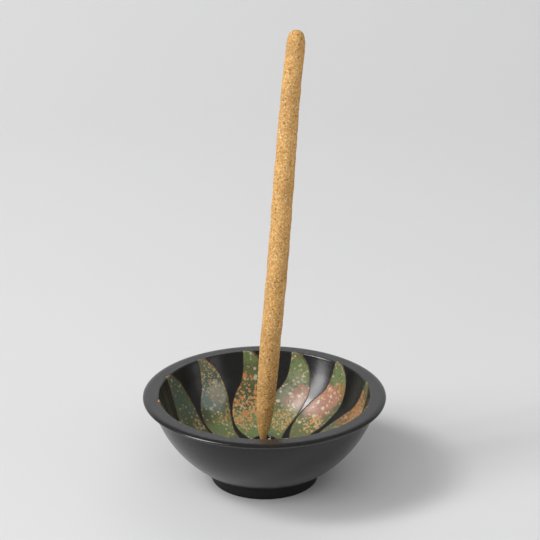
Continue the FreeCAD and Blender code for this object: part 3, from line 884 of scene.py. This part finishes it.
def bowl_shell(bowl, petal, gap_columns=20):
    """The bowl in sectors of one petal each: the gap beside it, through the whole section, and its recess."""
    inside = Inside(bowl)
    field, recess = petal_fields(bowl, petal)
    in_petal = petal_rows(inside, field, recess)
    floor = np.linspace(bowl.bore_radius - inside.flat, 0, FLOOR_ROWS)
    low_wall = np.linspace(0, in_petal[0], LOW_WALL_ROWS)[1:-1]
    land = np.linspace(in_petal[-1], inside.end, LAND_ROWS)[1:]
    section = inside.at(np.concatenate([floor, low_wall, in_petal, land]))
    radius, level = section[:2]
    first = len(floor) + len(low_wall)
    deep = slice(first, first + len(in_petal))
    radius[deep.start], radius[deep.stop - 1] = recess.root, recess.tip
    bore = np.array([(0.0, bowl.bore_bottom), (bowl.bore_radius, bowl.bore_bottom)])
    outside = bowl_outside(bowl)
    all_radius = np.concatenate([bore[:, 0], radius, outside[:, 0]])
    all_level = np.concatenate([bore[:, 1], level, outside[:, 1]])
    right, left = recess.edges(all_radius)
    right[-len(outside):] = left[-len(outside):] = left[-len(outside) - 1]
    part = np.linspace(0, 1, gap_columns + 1)
    sunk = recess_grid([row[deep] for row in section], bowl, field, recess)
    wall_head = len(all_radius) - len(outside) + LIP_ROWS
    foot_head = wall_head + COVE_ROWS + WALL_ROWS
    ways = petal_ways(petal)
    shell = Shell()
    for way, next_way in zip(ways, ways[1:]):
        start, end = left + way, right + next_way
        turn = start[:, None] + (end - start)[:, None] * part
        gap = polar(all_radius[:, None], turn, all_level[:, None])
        shell.add(gap[:wall_head + 1], 0)
        shell.add(gap[wall_head:foot_head + 1], 2)
        shell.add(gap[foot_head:], 3)
        shell.add(turned_by(sunk, way), 1)
    return shell


def petal_grid(bowl, petal, columns=26):
    """One petal along +X as a closed, slightly crowned sheet that follows the wall, the brim and the land."""
    inside = Inside(bowl)
    field, recess = petal_fields(bowl, petal)
    section = np.array(inside.at(petal_rows(inside, field, recess)))
    section = section[:, (section[0] > field.root - WELD_GAP) & (section[0] < field.tip + WELD_GAP)]
    radius = section[0]
    radius[0], radius[-1] = field.root, field.tip
    right, left = field.edges(radius)
    across = (1 - np.cos(np.linspace(0, math.pi, columns + 1))) / 2
    turn = right[:, None] + (left - right)[:, None] * across
    width = (left - right) * radius
    swell = 1 - (2 * across - 1) ** CROWN_FLATNESS
    full = np.minimum(1.0, width / CROWN_FULL_WIDTH)[:, None]
    rise = -petal.edge_drop + (petal.crown + petal.edge_drop) * swell * full
    top, under = raised(section, rise, turn), raised(section, -petal.thickness, turn)
    return np.concatenate([top, under[:, ::-1], top[:, :1]], axis=1)


def lathe_grid(section, steps):
    """A closed half section turned about Z."""
    section = np.concatenate([section, section[:1]])
    turn = np.linspace(0, math.tau, steps + 1)
    return polar(section[:, :1], turn[None, :], section[:, 1:])


def socket_section(bowl, socket):
    """Half section of the socket: base edge, drawn-in side, round crest, dish and bore."""
    bottom, top = bowl.floor_level, SOCKET_HIGH.z
    crest = top - socket.crest
    edge = bottom + socket.base_edge
    mouth = socket.top_radius - 2 * socket.crest
    bore_mouth = top - socket.dish
    points = {
        "bore_foot": (bowl.bore_radius, bottom),
        "base_outside": (socket.base_radius, bottom),
        "base_edge": (socket.base_radius, edge),
        "waist": ((socket.base_radius + socket.top_radius) / 2 - socket.waist, (edge + crest) / 2),
        "crest_outside": (socket.top_radius, crest),
        "crest_top": (socket.top_radius - socket.crest, top),
        "crest_inside": (mouth, crest),
        "dish": ((mouth + bowl.bore_radius) / 2, (crest + 3 * bore_mouth) / 4),
        "bore_mouth": (bowl.bore_radius, bore_mouth),
    }
    route = (
        "bore_foot", "base_outside", "base_edge", ("waist", "crest_outside"), ("crest_top", "crest_inside"),
        ("dish", "bore_mouth"),
    )
    return trace(points, route, steps=16)


def softened(values, window):
    """A row of values with its corners smoothed, its ends kept."""
    half = window // 2
    padded = np.pad(values, half, mode="reflect", reflect_type="odd")
    return np.convolve(padded, np.ones(window) / window, mode="valid")


def uneven(spot, layers):
    """Noise at a spot on the stick, summed over layers."""
    total = 0.0
    for across, along, weight in layers:
        total += weight * noise.noise(Vector((spot.x * across, spot.y * across, spot.z * along)))
    return total


def stick_grid(stick, rows=640, dome_rows=40, columns=96):
    """The stick along its own Z: a nib, a shoulder, a lumpy length and a domed tip, with grains and pits."""
    place, wide = (np.array(row) * MM for row in zip(*STICK_POINTS))
    dome_start = stick.size - stick.dome
    in_dome = dome_start + stick.dome * np.sin(np.linspace(0, 1, dome_rows)[1:] * math.pi / 2)
    along = np.concatenate([np.linspace(0, dome_start, rows), in_dome])
    spread = softened(np.interp(along, place, wide) / 2, window=9)
    bow = softened(np.interp(along, *(np.array(row) * MM for row in zip(*STICK_BOW))), window=15)
    dome = np.clip((along - dome_start) / stick.dome, 0, 1)
    spread *= (1 - dome ** DOME_ALONG) ** DOME_ACROSS
    turn = np.linspace(0, math.tau, columns + 1)
    grid = np.zeros((len(along), columns + 1, 3))
    noise.seed_set(SWAY_SEED)
    for row, (level, radius, aside) in enumerate(zip(along, spread, bow)):
        show = min(1.0, max(0.0, (level - NIB_LENGTH) / GRAIN_RUN)) * min(1.0, radius / GRAIN_FADE)
        bend = noise.noise_vector(Vector((0.0, 0.0, level * SWAY_SCALE))) * SWAY * show
        bend.x += aside
        for column, way in enumerate(turn[:-1]):
            spot = Vector((math.cos(way) * radius, math.sin(way) * radius, level))
            lump, grain = uneven(spot, STICK_LUMPS), uneven(spot, STICK_GRAIN)
            reach = radius + show * (stick.lumps * lump + stick.grain * grain)
            grid[row, column] = (math.cos(way) * reach + bend.x, math.sin(way) * reach + bend.y, level)
    grid[:, -1] = grid[:, 0]
    ends = [np.broadcast_to(row.mean(axis=0), (1, columns + 1, 3)) for row in (grid[0, :-1], grid[-1, :-1])]
    return np.concatenate([ends[0], grid, ends[1]])


class BURNER_OT_bowl(bpy.types.Operator):
    """Make the black bowl with its petal recesses"""

    bl_idname = "burner.make_bowl"
    bl_label = "Bowl"

    def execute(self, context):
        bowl, petal = context.scene.burner_bowl, context.scene.burner_petals
        finishes = [black_clay(bowl), bare_clay(bowl), satin_clay(bowl), foot_clay(bowl)]
        item = bowl_shell(bowl, petal).build("clay_bowl", finishes)
        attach(item, "bowl_body")
        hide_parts("bowl")
        return {"FINISHED"}


class BURNER_OT_petals(bpy.types.Operator):
    """Make the speckled petal inlays"""

    bl_idname = "burner.make_petals"
    bl_label = "Petals"

    def execute(self, context):
        bowl, petal = context.scene.burner_bowl, context.scene.burner_petals
        grid = petal_grid(bowl, petal)
        slip = petal_slip(bowl, petal)
        for node, way in zip(PETAL_NODES, petal_ways(petal)):
            shell = Shell()
            shell.add(turned_by(grid, way))
            item = shell.build(node.replace("inlay", "slip"), [slip])
            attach(item, "bowl_body")
            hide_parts(node)
        return {"FINISHED"}


class BURNER_OT_socket(bpy.types.Operator):
    """Make the polished stick socket"""

    bl_idname = "burner.make_socket"
    bl_label = "Socket"

    def execute(self, context):
        bowl, socket = context.scene.burner_bowl, context.scene.burner_socket
        shell = Shell()
        shell.add(lathe_grid(socket_section(bowl, socket), steps=128))
        item = shell.build("polished_socket", [socket_glaze(socket)])
        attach(item, "bowl_body")
        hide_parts("stick_socket")
        return {"FINISHED"}


class BURNER_OT_stick(bpy.types.Operator):
    """Make the rolled incense stick"""

    bl_idname = "burner.make_stick"
    bl_label = "Incense Stick"

    def execute(self, context):
        bowl, stick = context.scene.burner_bowl, context.scene.burner_stick
        shell = Shell()
        shell.add(stick_grid(stick))
        item = shell.build("rolled_stick", [incense_paste(stick)])
        bore_mouth = SOCKET_HIGH.z - context.scene.burner_socket.dish
        middle = (bowl.bore_bottom + bore_mouth) / 2
        foot = Vector(((stick.foot_level - middle) * math.tan(stick.lean), 0.0, stick.foot_level))
        item.matrix_world = Matrix.Translation(foot) @ Matrix.Rotation(stick.lean, 4, "Y")
        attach(item, "stick_body")
        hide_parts("incense_stick")
        return {"FINISHED"}


def floor_material(stage):
    """Matt pale board with a faint tooth."""
    material, tree, shader, place = new_material("pale_board")
    cloud = mottled(tree, place, scale=3.0, low=0.2, high=0.8)
    dim = tuple(value * 0.985 for value in stage.floor)
    body = mixed(tree, cloud, stage.floor, dim)
    set_inputs(tree, shader, {"Base Color": body, "Roughness": 0.9, "Specular IOR Level": 0.2})
    return material


def add_light(name, energy, place, target, size, mirrored):
    """A soft light of a width and a height that faces a point."""
    lamp = bpy.data.lights.new(name, "AREA")
    lamp.shape = "RECTANGLE"
    lamp.energy = energy
    lamp.size, lamp.size_y = size
    item = bpy.data.objects.new(name, lamp)
    item.location = place
    item.rotation_euler = (Vector(target) - Vector(place)).to_track_quat("-Z", "Y").to_euler()
    item.visible_glossy = mirrored
    bpy.context.scene.collection.objects.link(item)


class BURNER_OT_stage(bpy.types.Operator):
    """Make the floor, the light and the camera"""

    bl_idname = "burner.make_stage"
    bl_label = "Stage"

    def execute(self, context):
        scene, stage = context.scene, context.scene.burner_stage
        sweep = rounded(STUDIO_SECTION, steps=24)
        points = [(side, *place) for place in sweep for side in (-STUDIO_SIDE, STUDIO_SIDE)]
        faces = [(2 * row, 2 * row + 1, 2 * row + 3, 2 * row + 2) for row in range(len(sweep) - 1)]
        mesh = bpy.data.meshes.new("studio_floor")
        mesh.from_pydata(points, [], faces)
        mesh.materials.append(floor_material(stage))
        mesh.polygons.foreach_set("use_smooth", np.ones(len(faces), bool))
        floor = bpy.data.objects.new("studio_floor", mesh)
        scene.collection.objects.link(floor)
        for name, (setting, *look) in LIGHTS.items():
            add_light(name, getattr(stage, setting), *look)
        world = bpy.data.worlds.new("even_sky")
        world.use_nodes = True
        sky = world.node_tree.nodes["Background"]
        sky.inputs["Color"].default_value = (1.0, 1.0, 1.0, 1.0)
        sky.inputs["Strength"].default_value = stage.sky
        scene.world = world
        view = bpy.data.cameras.new("photo_view")
        view.lens = stage.lens
        view.sensor_width = 36.0
        camera = bpy.data.objects.new("photo_view", view)
        away = Vector((0.0, -math.cos(stage.pitch), math.sin(stage.pitch))) * stage.distance
        camera.location = Vector(stage.target) + away
        camera.rotation_euler = (math.pi / 2 - stage.pitch, 0.0, 0.0)
        scene.collection.objects.link(camera)
        scene.camera = camera
        scene.view_settings.view_transform = "Standard"
        return {"FINISHED"}


class BURNER_PT_panel(bpy.types.Panel):
    """Lists the pieces of the burner with their sizes and colours."""

    bl_idname = "BURNER_PT_panel"
    bl_label = "Incense Burner"
    bl_space_type = "VIEW_3D"
    bl_region_type = "UI"
    bl_category = "Burner"

    def draw(self, context):
        for settings, (_, operator) in SECTIONS.items():
            box = self.layout.box()
            box.operator(operator.bl_idname)
            group = getattr(context.scene, settings)
            for name in group.__annotations__:
                box.prop(group, name)


SECTIONS = {
    "burner_bowl": (BowlSettings, BURNER_OT_bowl),
    "burner_petals": (PetalSettings, BURNER_OT_petals),
    "burner_socket": (SocketSettings, BURNER_OT_socket),
    "burner_stick": (StickSettings, BURNER_OT_stick),
    "burner_stage": (StageSettings, BURNER_OT_stage),
}
CLASSES = [*(item for pair in SECTIONS.values() for item in pair), BURNER_PT_panel]


def register():
    for item in CLASSES:
        bpy.utils.register_class(item)
    for name, (group, _) in SECTIONS.items():
        setattr(bpy.types.Scene, name, bpy.props.PointerProperty(type=group))


def unregister():
    for name in SECTIONS:
        delattr(bpy.types.Scene, name)
    for item in reversed(CLASSES):
        bpy.utils.unregister_class(item)


def main():
    register()
    bpy.ops.burner.make_bowl()
    bpy.ops.burner.make_petals()
    bpy.ops.burner.make_socket()
    bpy.ops.burner.make_stick()
    bpy.ops.burner.make_stage()


if __name__ == "__main__":
    main()
